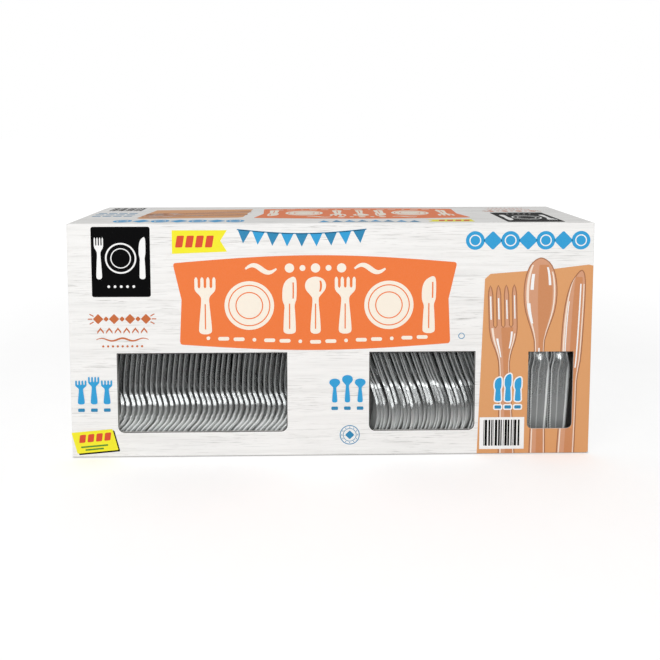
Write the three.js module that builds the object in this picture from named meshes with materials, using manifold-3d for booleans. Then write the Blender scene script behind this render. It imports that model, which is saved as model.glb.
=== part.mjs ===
// A windowed paperboard carton packed with clear plastic forks, spoons and knives.
// Millimetres, +Z up. X runs along the carton and -Y is its printed front.
// The origin is under the middle of the carton, on the surface it stands on.

import * as THREE from "three";
import Module from "manifold-3d";
import { mergeVertices } from "three/addons/utils/BufferGeometryUtils.js";

const wasm = await Module();
wasm.setup();

// Board and film
const board = 0.8;
const film = 0.3;
const foldRadius = 1.4;
const glueLine = 0.05;
const looseFit = 0.3;

// How far a cutter runs past what it cuts
const cutPast = 1;

// Forks: how many, how closely they nest, and one fork's sizes
const forkRows = 5;
const forksInRow = 36;
const forkPitch = 4.45;
const forkLength = 179;
const forkHeadWidth = 21.2;
const forkNeckWidth = 8.2;
const forkHandleWidth = 13;
const tineLength = 34;
const tineGap = 2.4;
const forkBowlEnd = 53;
const forkTipNarrowing = 3;

// Spoons
const spoonRows = 4;
const spoonsInRow = 30;
const spoonPitch = 3.5;
const spoonLength = 166;
const spoonBowlWidth = 26.7;
const spoonNeckWidth = 8.4;
const spoonHandleWidth = 13;
const spoonBowlLength = 57;

// Knives
const knifeColumns = 3;
const knivesInColumn = 20;
const knifePitch = 5.2;
const knifeLength = 188;
const knifeBladeWidth = 16;
const knifeNeckWidth = 11;
const knifeHandleWidth = 14;
const knifeBladeLength = 78;
const knifeColumnGap = 0.5;

// One moulding's wall, and how deep the groove is between two nested rims
const wall = 1.4;
const nestGroove = 1.5;

// Free room: beside the rows in each bay, between rows, and over the longest piece
const forkSlack = 25;
const spoonSlack = 16.1;
const knifeSlack = 12.85;
const rowGap = 0.5;
const headroom = 3.1;

// Windows in the front panel, each in the middle of its bay
const windowSill = 21.5;
const windowHeight = 65;
const windowCorner = 4.5;
const forkWindow = 136.5;
const spoonWindow = 85.5;
const knifeWindow = 37.3;
const filmLap = 8;

// Flaps that close the two ends, the maker's joint and the dividers' glued edges
const dustFlap = 46;
const dustFlapTaper = 8;
const outerFlapShort = 7;
const flapEdgeGap = 0.5;
const jointFlap = 18;
const dividerEdge = 6;

// How far each moulding leans along its nest, from its lowest point up.
// A level is [height, lean, width].
const forkLevels = [
  [0, -18, forkHeadWidth - forkTipNarrowing],
  [20, -7.5, forkHeadWidth],
  [tineLength, 2.6, forkHeadWidth],
  [forkBowlEnd, 0, forkNeckWidth],
  [forkLength, 9, forkHandleWidth],
];
const spoonLevels = [
  [0, 8, spoonBowlWidth * 0.4],
  [12, 13.4, spoonBowlWidth * 0.9],
  [34, 16.8, spoonBowlWidth],
  [spoonBowlLength, 10.4, spoonNeckWidth],
  [spoonLength, -12, spoonHandleWidth],
];
const knifeLevels = [
  [0, 0, knifeBladeWidth * 0.3],
  [14, 0, knifeBladeWidth],
  [knifeBladeLength, 0, knifeNeckWidth],
  [knifeLength, 0, knifeHandleWidth],
];

// The carton's inner sizes follow from what it holds
const leanSpan = (levels) => {
  const leans = levels.map((level) => level[1]);
  return [Math.min(...leans), Math.max(...leans)];
};
const rowLength = (count, pitch, levels) => {
  const [least, most] = leanSpan(levels);
  return (count - 1) * pitch + wall + most - least;
};
const forkRowLength = rowLength(forksInRow, forkPitch, forkLevels);
const spoonRowLength = rowLength(spoonsInRow, spoonPitch, spoonLevels);
const knifeBlockWidth = knifeColumns * knifeBladeWidth + (knifeColumns - 1) * knifeColumnGap;
const knifeBlockDepth = (knivesInColumn - 1) * knifePitch + wall;
const forkBay = forkRowLength + forkSlack;
const spoonBay = spoonRowLength + spoonSlack;
const knifeBay = knifeBlockWidth + knifeSlack;

const innerLength = forkBay + board + spoonBay + board + knifeBay;
const innerDepth = Math.max(
  forkRows * forkHeadWidth + (forkRows + 1) * rowGap,
  spoonRows * spoonBowlWidth + (spoonRows + 1) * rowGap,
  knifeBlockDepth + 2 * rowGap,
);
const innerHeight = Math.max(forkLength, spoonLength, knifeLength) + looseFit + headroom;

// The end walls are three boards thick: a dust flap and two glued flaps.
// The back is two boards thick near the floor, where the blank is joined.
const endWall = 3 * board;
const length = innerLength + 2 * endWall;
const depth = innerDepth + film + 3 * board;
const height = innerHeight + 2 * board;

const front = -depth / 2;
const back = depth / 2;
const insideFront = front + board;
const stackFront = insideFront + film;
const floorTop = board;
const bayStart = -innerLength / 2;
const firstDivider = bayStart + forkBay;
const secondDivider = firstDivider + board + spoonBay;
const forkMiddle = bayStart + forkBay / 2;
const spoonMiddle = firstDivider + board + spoonBay / 2;
const knifeMiddle = secondDivider + board + knifeBay / 2;

const coatedBoard = new THREE.MeshStandardMaterial({ color: 0xf2f1ee, roughness: 0.45, metalness: 0 });
const dividerBoard = new THREE.MeshStandardMaterial({ color: 0xb9ab97, roughness: 0.85, metalness: 0 });
const clearFilm = new THREE.MeshStandardMaterial({
  color: 0xf4f8fa,
  roughness: 0.08,
  metalness: 0,
  transparent: true,
  opacity: 0.2,
});
const clearPlastic = new THREE.MeshStandardMaterial({
  color: 0xc9ced2,
  roughness: 0.12,
  metalness: 0,
  transparent: true,
  opacity: 0.55,
});

const pack = new THREE.Group();

function addMesh(name, geometry, material) {
  const mesh = new THREE.Mesh(geometry, material);
  mesh.name = name;
  pack.add(mesh);
  return mesh;
}

// Between three.js geometry and solids that can be joined and cut
function solidOf(geometry) {
  const bare = geometry.clone();
  bare.deleteAttribute("normal");
  bare.deleteAttribute("uv");
  const merged = mergeVertices(bare, 1e-5);
  const vertProperties = new Float32Array(merged.attributes.position.array);
  const triVerts = new Uint32Array(merged.index.array);
  return new wasm.Manifold(new wasm.Mesh({ numProp: 3, vertProperties, triVerts }));
}

function geometryOf(solid) {
  const mesh = solid.getMesh();
  const geometry = new THREE.BufferGeometry();
  geometry.setAttribute("position", new THREE.BufferAttribute(mesh.vertProperties, 3));
  geometry.setIndex(new THREE.BufferAttribute(mesh.triVerts, 1));
  geometry.computeVertexNormals();
  return geometry;
}

// Extrusions of a flat outline along each axis
function extrusion(shape, distance) {
  return new THREE.ExtrudeGeometry(shape, { depth: distance, bevelEnabled: false, curveSegments: 4 });
}

function alongX(shapeYZ, start, end) {
  const turn = new THREE.Matrix4().makeBasis(
    new THREE.Vector3(0, 1, 0),
    new THREE.Vector3(0, 0, 1),
    new THREE.Vector3(1, 0, 0),
  );
  return extrusion(shapeYZ, end - start).applyMatrix4(turn).translate(start, 0, 0);
}

function alongY(shapeXZ, start, end) {
  return extrusion(shapeXZ, end - start).rotateX(Math.PI / 2).translate(0, end, 0);
}

function alongZ(shapeXY, start, end) {
  return extrusion(shapeXY, end - start).translate(0, 0, start);
}

// A closed outline from corners [x, y, radius], each corner rounded where its radius isn't 0
function outline(corners) {
  const shape = new THREE.Shape();
  const count = corners.length;
  const towards = (from, to, distance) => {
    const step = new THREE.Vector2(to[0] - from[0], to[1] - from[1]).setLength(distance);
    return [from[0] + step.x, from[1] + step.y];
  };
  corners.forEach((corner, index) => {
    const before = corners[(index + count - 1) % count];
    const after = corners[(index + 1) % count];
    const radius = corner[2] ?? 0;
    const arrive = radius ? towards(corner, before, radius) : corner;
    const leave = radius ? towards(corner, after, radius) : corner;
    if (index === 0) shape.moveTo(arrive[0], arrive[1]);
    else shape.lineTo(arrive[0], arrive[1]);
    if (radius) shape.quadraticCurveTo(corner[0], corner[1], leave[0], leave[1]);
  });
  shape.closePath();
  return shape;
}

// Carton: one folded blank, glued along the back and closed by glued flaps at both ends
function cartonTube() {
  const tubeEnd = length / 2 - 2 * board;
  const outside = outline([
    [front, 0, foldRadius],
    [back - board, 0, foldRadius],
    [back - board, foldRadius + flapEdgeGap],
    [back, foldRadius + flapEdgeGap],
    [back, height, foldRadius],
    [front, height, foldRadius],
  ]);
  const bend = foldRadius - board;
  const inside = outline([
    [front + board, board, bend],
    [back - board, board, bend],
    [back - board, height - board, bend],
    [front + board, height - board, bend],
  ]);
  const shell = solidOf(alongX(outside, -tubeEnd, tubeEnd));
  return shell.subtract(solidOf(alongX(inside, -tubeEnd - cutPast, tubeEnd + cutPast)));
}

// The inner flap folds in from the back and the outer flap from the front, over it
function gluedFlaps(side) {
  const plate = outline([
    [length / 2 - 2 * board, front],
    [length / 2, front, foldRadius],
    [length / 2, back - outerFlapShort],
    [length / 2 - board, back - outerFlapShort],
    [length / 2 - board, back, foldRadius - board],
    [length / 2 - 2 * board, back],
  ]);
  const flat = solidOf(alongZ(plate, flapEdgeGap, height - flapEdgeGap));
  return side > 0 ? flat : flat.mirror([1, 0, 0]);
}

// A dust flap folds down from the top panel and another up from the bottom panel
function dustFlaps(side) {
  const halfRoot = innerDepth / 2;
  const inner = length / 2 - endWall;
  const outer = inner + board;
  const flap = (root, free) =>
    outline([
      [-halfRoot, root],
      [halfRoot, root],
      [halfRoot - dustFlapTaper, free],
      [-halfRoot + dustFlapTaper, free],
    ]);
  const bottom = solidOf(alongX(flap(board / 2, board + dustFlap), inner, outer));
  const top = bottom.mirror([0, 0, 1]).translate([0, 0, height]);
  const both = bottom.add(top);
  return side > 0 ? both : both.mirror([1, 0, 0]);
}

// The bottom panel's last fold, glued inside the back panel along its whole length
function jointStrip() {
  const end = innerLength / 2 - jointFlap / 2;
  const strip = outline([
    [-end, board / 2],
    [end, board / 2],
    [end - jointFlap / 2, board + jointFlap],
    [-end + jointFlap / 2, board + jointFlap],
  ]);
  return solidOf(alongY(strip, back - 2 * board, back - board / 2));
}

function windowOutline(middle, width) {
  return outline([
    [middle - width / 2, windowSill, windowCorner],
    [middle + width / 2, windowSill, windowCorner],
    [middle + width / 2, windowSill + windowHeight],
    [middle - width / 2, windowSill + windowHeight],
  ]);
}

const windows = [
  ["forks", forkMiddle, forkWindow],
  ["spoons", spoonMiddle, spoonWindow],
  ["knives", knifeMiddle, knifeWindow],
];

let carton = cartonTube();
for (const side of [-1, 1]) {
  carton = carton.add(gluedFlaps(side)).add(dustFlaps(side));
}
carton = carton.add(jointStrip());
for (const [, middle, width] of windows) {
  const cutter = alongY(windowOutline(middle, width), front - cutPast, insideFront + board / 2);
  carton = carton.subtract(solidOf(cutter));
}
addMesh("carton", geometryOf(carton), coatedBoard);

// Window films: one clear sheet glued behind each window, lapping its edge all round
for (const [name, middle, width] of windows) {
  const half = width / 2 + filmLap;
  const sheet = outline([
    [middle - half, windowSill - filmLap],
    [middle + half, windowSill - filmLap],
    [middle + half, windowSill + windowHeight + filmLap],
    [middle - half, windowSill + windowHeight + filmLap],
  ]);
  const pane = alongY(sheet, insideFront + glueLine, insideFront + film);
  addMesh(`window_film_${name}`, pane, clearFilm);
}

// Dividers: a board across the depth, with a glued edge folded back along each long panel
function divider(start) {
  const y0 = insideFront + glueLine;
  const y1 = back - 2 * board - glueLine;
  const bend = board / 2;
  const section = outline([
    [start + board, y0, bend],
    [start + board, y1, bend],
    [start - dividerEdge, y1],
    [start - dividerEdge, y1 - board],
    [start, y1 - board],
    [start, y0 + board],
    [start - dividerEdge, y0 + board],
    [start - dividerEdge, y0],
  ]);
  return alongZ(section, floorTop + 2 * looseFit, height - board - 2 * looseFit);
}
addMesh("divider_forks_spoons", divider(firstDivider), dividerBoard);
addMesh("divider_spoons_knives", divider(secondDivider), dividerBoard);

// A nest: mouldings of one outline, each set into the next one pitch along.
// The outline is drawn as seen from above, with a ridge for each rim and a groove between
// two rims, and it is carried up through the levels, leaning and narrowing with them.
function nest(count, pitch, levels) {
  const ridge = 1;
  const groove = 0.5;
  const rims = [[-wall / 2, ridge]];
  for (let index = 0; index < count; index += 1) {
    if (index > 0) rims.push([(index - 0.5) * pitch, groove]);
    if (index > 0 && index < count - 1) rims.push([index * pitch, ridge]);
  }
  rims.push([(count - 1) * pitch + wall / 2, ridge]);
  const nearSide = rims.map(([x, reach]) => new THREE.Vector2(x, -reach));
  const farSide = rims.map(([x, reach]) => new THREE.Vector2(x, reach)).reverse();
  const steps = levels.length - 1;
  const geometry = new THREE.ExtrudeGeometry(new THREE.Shape([...nearSide, ...farSide]), {
    depth: steps,
    steps,
    bevelEnabled: false,
  });
  const places = geometry.attributes.position;
  for (let index = 0; index < places.count; index += 1) {
    const [z, lean, width] = levels[Math.round(places.getZ(index))];
    const reach = places.getY(index);
    const inset = Math.abs(reach) === ridge ? 0 : nestGroove;
    const y = Math.sign(reach) * (width / 2 - inset);
    places.setXYZ(index, places.getX(index) + lean, y, z);
  }
  return solidOf(geometry);
}

// Three slots part the four tines of every fork in the row
function cutTines(row) {
  const spacing = (forkHeadWidth + tineGap) / 4;
  const { min, max } = row.boundingBox();
  let forks = row;
  for (const place of [-1, 0, 1]) {
    const slot = outline([
      [place * spacing - tineGap / 2, -cutPast],
      [place * spacing + tineGap / 2, -cutPast],
      [place * spacing + tineGap / 2, tineLength, tineGap / 2],
      [place * spacing - tineGap / 2, tineLength, tineGap / 2],
    ]);
    forks = forks.subtract(solidOf(alongX(slot, min[0] - cutPast, max[0] + cutPast)));
  }
  return forks;
}

// Rows stand on the floor, one behind another, with the spare depth shared between them.
// Each is half a pitch off the one in front, so that its rims fill the gaps that show.
function placeRows(name, rows, row, width, start, pitch) {
  const gap = (innerDepth - rows * width) / (rows + 1);
  for (let index = 0; index < rows; index += 1) {
    const x = start + (index % 2 === 0 ? -pitch : pitch) / 4;
    const y = stackFront + gap + width / 2 + index * (width + gap);
    const mesh = addMesh(`${name}_${index + 1}`, geometryOf(row), clearPlastic);
    mesh.position.set(x, y, floorTop + looseFit);
  }
}

const forkStart = bayStart + forkSlack / 2 + wall / 2 - leanSpan(forkLevels)[0];
const forkRow = cutTines(nest(forksInRow, forkPitch, forkLevels));
placeRows("fork_row", forkRows, forkRow, forkHeadWidth, forkStart, forkPitch);

const spoonStart = firstDivider + board + spoonSlack / 2 + wall / 2 - leanSpan(spoonLevels)[0];
const spoonRow = nest(spoonsInRow, spoonPitch, spoonLevels);
placeRows("spoon_row", spoonRows, spoonRow, spoonBowlWidth, spoonStart, spoonPitch);

// Knives stand flat to the front and their nest runs back through the depth.
// The three columns are pushed up to the divider, and the spare room is beside the last.
const knifeStack = nest(knivesInColumn, knifePitch, knifeLevels);
const knifeGeometry = geometryOf(knifeStack).rotateZ(Math.PI / 2);
const firstColumn = secondDivider + board + rowGap + knifeBladeWidth / 2;
const firstKnife = stackFront + (innerDepth - knifeBlockDepth) / 2 + wall / 2;
for (let index = 0; index < knifeColumns; index += 1) {
  const mesh = addMesh(`knife_column_${index + 1}`, knifeGeometry.clone(), clearPlastic);
  const step = index * (knifeBladeWidth + knifeColumnGap);
  mesh.position.set(firstColumn + step, firstKnife, floorTop + looseFit);
}

export default pack;
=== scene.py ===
import math

import bpy
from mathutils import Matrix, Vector
from mathutils.geometry import tessellate_polygon


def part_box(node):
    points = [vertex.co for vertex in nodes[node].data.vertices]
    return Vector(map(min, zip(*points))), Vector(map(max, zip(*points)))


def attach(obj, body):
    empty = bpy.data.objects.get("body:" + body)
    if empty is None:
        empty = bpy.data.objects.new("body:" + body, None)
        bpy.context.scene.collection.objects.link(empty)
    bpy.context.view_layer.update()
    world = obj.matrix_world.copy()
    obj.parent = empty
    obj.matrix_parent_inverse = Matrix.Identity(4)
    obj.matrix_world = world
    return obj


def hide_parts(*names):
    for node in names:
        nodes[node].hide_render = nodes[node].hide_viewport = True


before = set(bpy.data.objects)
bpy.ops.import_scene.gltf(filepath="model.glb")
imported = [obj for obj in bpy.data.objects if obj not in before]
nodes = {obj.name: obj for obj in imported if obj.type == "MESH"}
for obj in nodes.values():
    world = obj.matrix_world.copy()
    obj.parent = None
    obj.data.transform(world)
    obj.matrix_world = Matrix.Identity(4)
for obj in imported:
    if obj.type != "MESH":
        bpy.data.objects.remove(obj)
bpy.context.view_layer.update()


# Carton
# One sheet of clay-coated paperboard, printed with white-washed wood grain, die-cut and
# folded round the cutlery. The long joint is glued inside the back panel and two layers
# of flaps are glued over each end. Uncoated board shows inside and at the cut edges.
MM = 0.001
carton_low, carton_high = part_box("carton")
BOARD = 0.8 * MM
GRAIN_LENGTH = 30 * MM
GRAIN_WIDTH = 0.95 * MM
GRAIN_PATCH = 34 * MM
FIBRE = 0.5 * MM
SQUARE_ON = 0.7
# Heights at which the painted shade along the carton's foot begins and is fullest
PAINTED_FOOT_SHADE = (1.2 * MM, 0.5 * MM)


def ink(code):
    """A colour written as sRGB hex, such as "F47B35", as linear red, green, blue and alpha."""
    parts = [int(code[i:i + 2], 16) / 255 for i in (0, 2, 4)]
    return (*[p / 12.92 if p <= 0.04045 else ((p + 0.055) / 1.055) ** 2.4 for p in parts], 1.0)


def add(tree, kind, inputs=(), **settings):
    """Adds one node with its settings. Its inputs are a list in their order, or a dict. Each
    is a value, a node's output, or a node that gives its first output."""
    made = tree.nodes.new(kind)
    for name, value in settings.items():
        setattr(made, name, value)
    for key, value in inputs.items() if isinstance(inputs, dict) else enumerate(inputs):
        if isinstance(value, bpy.types.Node):
            value = value.outputs[0]
        if isinstance(value, bpy.types.NodeSocket):
            tree.links.new(value, made.inputs[key])
        else:
            made.inputs[key].default_value = value
    return made


def new_material(name):
    """An empty node material, and its tree."""
    material = bpy.data.materials.new(name)
    material.use_nodes = True
    material.node_tree.nodes.clear()
    return material, material.node_tree


def carton_board():
    """Coated board: semi-gloss print outside, dull grey-white board inside and at its edges."""
    material, tree = new_material("clay_coated_printed_paperboard")
    place = add(tree, "ShaderNodeTexCoord").outputs["Object"]
    x, y, z = add(tree, "ShaderNodeSeparateXYZ", [place]).outputs
    normal = add(tree, "ShaderNodeNewGeometry").outputs["True Normal"]
    facing = add(tree, "ShaderNodeVectorMath", [normal], operation="ABSOLUTE")
    facing_x, _, facing_z = add(tree, "ShaderNodeSeparateXYZ", [facing]).outputs

    # The grain runs level on every panel, so its long axis is Y on the two ends
    on_end = add(tree, "ShaderNodeMath", [facing_x, SQUARE_ON], operation="GREATER_THAN")
    on_top = add(tree, "ShaderNodeMath", [facing_z, SQUARE_ON], operation="GREATER_THAN")
    along = add(tree, "ShaderNodeMix", {0: on_end, 2: x, 3: y})
    across = add(tree, "ShaderNodeMix", {0: on_top, 2: z, 3: y})
    panel = add(tree, "ShaderNodeCombineXYZ", [along, across])

    def grain(length, width, detail, shift, low, high, least=0.0):
        """Noise drawn out along the grain, and its share between two of its values."""
        scale, start = (1 / length, 1 / width, 0.0), (shift, shift, 0.0)
        scaled = add(tree, "ShaderNodeVectorMath", [panel, scale, start], operation="MULTIPLY_ADD")
        noise = add(tree, "ShaderNodeTexNoise", {"Vector": scaled, "Scale": 1.0, "Detail": detail,
                                                 "Roughness": 0.6, "Distortion": 0.4})
        return add(tree, "ShaderNodeMapRange", {0: noise, 1: low, 2: high, 3: least})

    streak = grain(GRAIN_LENGTH, GRAIN_WIDTH, 3.0, 3.0, 0.56, 0.74)
    hair = grain(GRAIN_LENGTH * 0.5, GRAIN_WIDTH * 0.55, 2.0, 11.0, 0.62, 0.74)
    patch = grain(GRAIN_PATCH * 4, GRAIN_PATCH * 0.6, 1.0, 7.0, 0.42, 0.66, 0.2)
    wash = grain(GRAIN_LENGTH * 3, GRAIN_WIDTH * 6, 2.0, 5.0, 0.4, 0.75)
    lines = add(tree, "ShaderNodeMath", [streak, hair], operation="MAXIMUM")
    patched = add(tree, "ShaderNodeMath", [lines, patch], operation="MULTIPLY")
    washed = add(tree, "ShaderNodeMath", [wash, 0.16], operation="MULTIPLY")
    darkness = add(tree, "ShaderNodeMath", [patched, 1.05, washed], operation="MULTIPLY_ADD")
    printed = add(tree, "ShaderNodeMix", {0: darkness, 6: ink("FAF9F7"), 7: ink("ABAAA6")},
                  data_type="RGBA").outputs[2]

    # Painted shade: the print darkens to grey along the folds that the carton stands on
    painted_foot_shade = add(tree, "ShaderNodeMapRange", [z, *PAINTED_FOOT_SHADE, 0.0, 0.75])
    printed = add(tree, "ShaderNodeMix", {0: painted_foot_shade, 6: printed, 7: ink("7E7A74")},
                  data_type="RGBA").outputs[2]

    # Depth under the outer face tells the print from the bare board. The inner end flap
    # lies one board lower and is printed too.
    flap = Vector((BOARD, 0.0, 0.0))
    near = add(tree, "ShaderNodeVectorMath", [place, carton_low + flap], operation="SUBTRACT")
    far = add(tree, "ShaderNodeVectorMath", [carton_high - flap, place], operation="SUBTRACT")
    depth = add(tree, "ShaderNodeVectorMath", [near, far], operation="MINIMUM")
    depth_x, depth_y, depth_z = add(tree, "ShaderNodeSeparateXYZ", [depth]).outputs
    level = add(tree, "ShaderNodeMath", [depth_x, depth_y], operation="MINIMUM")
    under = add(tree, "ShaderNodeMath", [level, depth_z], operation="MINIMUM")
    bare = add(tree, "ShaderNodeMath", [under, BOARD * 0.6], operation="GREATER_THAN")
    fibre = add(tree, "ShaderNodeTexNoise", {"Vector": place, "Scale": 1 / FIBRE, "Detail": 3.0})
    raw = add(tree, "ShaderNodeMix", {0: fibre, 6: ink("B9B6AF"), 7: ink("CFCCC5")},
              data_type="RGBA").outputs[2]
    colour = add(tree, "ShaderNodeMix", {0: bare, 6: printed, 7: raw}, data_type="RGBA").outputs[2]
    coated = add(tree, "ShaderNodeMath", [fibre, 0.1, 0.48], operation="MULTIPLY_ADD")
    sheen = add(tree, "ShaderNodeMix", {0: bare, 2: coated, 3: 0.85})
    bump = add(tree, "ShaderNodeBump", {"Height": fibre, "Strength": 0.12, "Distance": 0.00003})
    board = add(tree, "ShaderNodeBsdfPrincipled", {
        "Base Color": colour, "Roughness": sheen, "IOR": 1.5, "Specular IOR Level": 0.2,
        "Normal": bump,
    })
    add(tree, "ShaderNodeOutputMaterial", [board])
    return material


def dress(piece, material):
    """Gives a CAD node's own object one material."""
    piece.data.materials.clear()
    piece.data.materials.append(material)


dress(nodes["carton"], carton_board())


# Dividers
# Two strips of uncoated grey-brown board, each folded twice and glued to the front and
# back panels by its folded edges. They keep the three kinds of cutlery apart.
def divider_board():
    """Uncoated recycled board: dull, with short darker fibres."""
    material, tree = new_material("uncoated_recycled_paperboard")
    place = add(tree, "ShaderNodeTexCoord").outputs["Object"]
    stretched = add(tree, "ShaderNodeMapping", {0: place, 3: (1.0, 1.0, 0.35)})
    fleck = add(tree, "ShaderNodeTexNoise", {"Vector": stretched, "Scale": 1 / FIBRE, "Detail": 4.0})
    colour = add(tree, "ShaderNodeMix", {0: fleck, 6: ink("8D8170"), 7: ink("C2B6A2")},
                 data_type="RGBA").outputs[2]
    bump = add(tree, "ShaderNodeBump", {"Height": fleck, "Strength": 0.3, "Distance": 0.00005})
    board = add(tree, "ShaderNodeBsdfPrincipled", {
        "Base Color": colour, "Roughness": 0.9, "IOR": 1.45, "Normal": bump,
    })
    add(tree, "ShaderNodeOutputMaterial", [board])
    return material


plain_board = divider_board()
for side in ("forks_spoons", "spoons_knives"):
    dress(nodes["divider_" + side], plain_board)


# Window films
# Thin clear film, glued behind each window to keep the cutlery clean. It is almost
# invisible straight on and mirrors the light only at a slant.
def window_film():
    """Clear film: it lets light through, with a smooth gloss that grows at a slant."""
    material, tree = new_material("clear_cast_film")
    place = add(tree, "ShaderNodeTexCoord").outputs["Object"]
    ripple = add(tree, "ShaderNodeTexNoise", {"Vector": place, "Scale": 60.0, "Detail": 1.0})
    bump = add(tree, "ShaderNodeBump", {"Height": ripple, "Strength": 0.2, "Distance": 0.0004})
    clear = add(tree, "ShaderNodeBsdfTransparent", {"Color": ink("FBFCFC")})
    gloss = add(tree, "ShaderNodeBsdfPrincipled", {
        "Base Color": ink("F2F5F6"), "Roughness": 0.06, "IOR": 1.49, "Normal": bump,
    })
    slant = add(tree, "ShaderNodeLayerWeight", {"Blend": 0.12}).outputs["Fresnel"]
    share = add(tree, "ShaderNodeMath", [slant, 0.25], operation="MULTIPLY")
    mix = add(tree, "ShaderNodeMixShader", [share, clear, gloss])
    add(tree, "ShaderNodeOutputMaterial", [mix])
    return material


clear_film = window_film()
for kind in ("forks", "spoons", "knives"):
    dress(nodes["window_film_" + kind], clear_film)


# Forks
# Injection moulded clear polystyrene: four tines, a dished head and a ribbed handle, all
# one wall thick. They stand on their tines and each nests in the next, in five rows of 36.
WALL = 1.2 * MM
CREASE = math.radians(38)
FORKS_IN_ROW = 36
FORK_ROWS = 5
fork_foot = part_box("fork_row_1")[0].z


def smooth_between(points, at):
    """The value at one place of a smooth curve through (place, value) points."""
    if at <= points[0][0]:
        return points[0][1]
    for index in range(len(points) - 1):
        start, end = points[index], points[index + 1]
        if at <= end[0]:
            before = points[max(index - 1, 0)]
            after = points[min(index + 2, len(points) - 1)]
            span = end[0] - start[0]
            rise = (end[1] - before[1]) / max(end[0] - before[0], 1e-9) * span
            fall = (after[1] - start[1]) / max(after[0] - start[0], 1e-9) * span
            t = (at - start[0]) / span
            return (start[1] * (2 * t**3 - 3 * t**2 + 1) + rise * (t**3 - 2 * t**2 + t)
                    + end[1] * (3 * t**2 - 2 * t**3) + fall * (t**3 - t**2))
    return points[-1][1]


def clear_polystyrene(name, face_on, aslant, rim_share, base, pale, pale_from, pale_to):
    """Moulded clear plastic: see-through face on and glossy at a slant. Its colour carries painted
    light: paler and fuller low in the nest, where the tines and bowls scatter light, darker grey
    above as painted shade, and paler at its rims as a painted highlight."""
    material, tree = new_material(name)
    place = add(tree, "ShaderNodeTexCoord").outputs["Object"]
    rim = add(tree, "ShaderNodeAttribute", attribute_name="rim").outputs["Fac"]
    height = add(tree, "ShaderNodeSeparateXYZ", [place]).outputs[2]
    low = add(tree, "ShaderNodeMapRange", [height, pale_from, pale_to],
              interpolation_type="SMOOTHSTEP")
    stretched = add(tree, "ShaderNodeMapping", {0: place, 3: (1.0, 1.0, 0.3)})
    flow = add(tree, "ShaderNodeTexNoise", {"Vector": stretched, "Scale": 240.0, "Detail": 2.0})
    bump = add(tree, "ShaderNodeBump", {"Height": flow, "Strength": 0.04, "Distance": 0.0003})
    clear = add(tree, "ShaderNodeBsdfTransparent", {"Color": ink("F7F7F7")})
    face, edge = [
        add(tree, "ShaderNodeMix", {0: low, 6: ink(first), 7: ink(last)}, data_type="RGBA").outputs[2]
        for first, last in ((base, pale), ("DCDCDC", "F8F8F7"))
    ]
    # Painted light and shade: the colour is grey above, pale low in the nest and paler on the rims
    painted_light_tone = add(tree, "ShaderNodeMix", {0: rim, 6: face, 7: edge}, data_type="RGBA").outputs[2]
    gloss = add(tree, "ShaderNodeBsdfPrincipled", {
        "Base Color": painted_light_tone, "Roughness": 0.2, "IOR": 1.59, "Normal": bump,
    })
    slant = add(tree, "ShaderNodeLayerWeight", {"Blend": 0.5}).outputs["Facing"]
    thick = add(tree, "ShaderNodeMapRange", [slant, 0.0, 1.0, face_on, aslant])
    fuller = add(tree, "ShaderNodeMath", [low, 0.2, thick], operation="MULTIPLY_ADD")
    share = add(tree, "ShaderNodeMix", {0: rim, 2: fuller, 3: rim_share})
    mix = add(tree, "ShaderNodeMixShader", [share, clear, gloss])
    add(tree, "ShaderNodeOutputMaterial", [mix])
    return material


fork_plastic = clear_polystyrene("moulded_clear_polystyrene_forks", 0.36, 0.55, 0.85,
                                 "7C7C7C", "F8F8F7", fork_foot + 50 * MM, fork_foot + 26 * MM)


def stand(name, data):
    """A new object in the scene."""
    made = bpy.data.objects.new(name, data)
    bpy.context.scene.collection.objects.link(made)
    return made


def evaluated_mesh(piece):
    """A plain mesh of an object as its modifiers shape it. The object goes."""
    mesh = bpy.data.meshes.new_from_object(piece.evaluated_get(bpy.context.evaluated_depsgraph_get()))
    bpy.data.objects.remove(piece)
    return mesh


def moulding(name, levels, columns, place, gap_at=lambda *_: False, painted_streak_at=lambda *_: 0.0):
    """One thin moulding: a net of points with a wall, open where gap_at says so.
    Its rim attribute is 1 on the narrow faces round its edge, and the last argument gives the
    others'. The plastic paints faces with a rim value paler, as a painted highlight."""
    points = [place(level, column) for level in levels for column in range(columns)]
    faces, painted_streak = [], []
    for row in range(len(levels) - 1):
        for column in range(columns - 1):
            if not gap_at(column, levels[row]):
                corner = row * columns + column
                faces.append((corner, corner + 1, corner + columns + 1, corner + columns))
                painted_streak.append(painted_streak_at(column, levels[row]))
    mesh = bpy.data.meshes.new(name)
    mesh.from_pydata(points, [], faces)
    mesh.validate()
    piece = stand(name, mesh)
    wall = piece.modifiers.new("wall", "SOLIDIFY")
    wall.thickness = WALL
    wall.offset = 0.0
    walled = evaluated_mesh(piece)
    bpy.data.meshes.remove(mesh)
    walled.polygons.foreach_set("use_smooth", [True] * len(walled.polygons))
    walled.set_sharp_from_angle(angle=CREASE)
    rim = walled.attributes.new("rim", "FLOAT", "FACE")
    narrow = len(walled.polygons) - 2 * len(faces)
    rim.data.foreach_set("value", painted_streak + painted_streak + [1.0] * narrow)
    return walled


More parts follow.
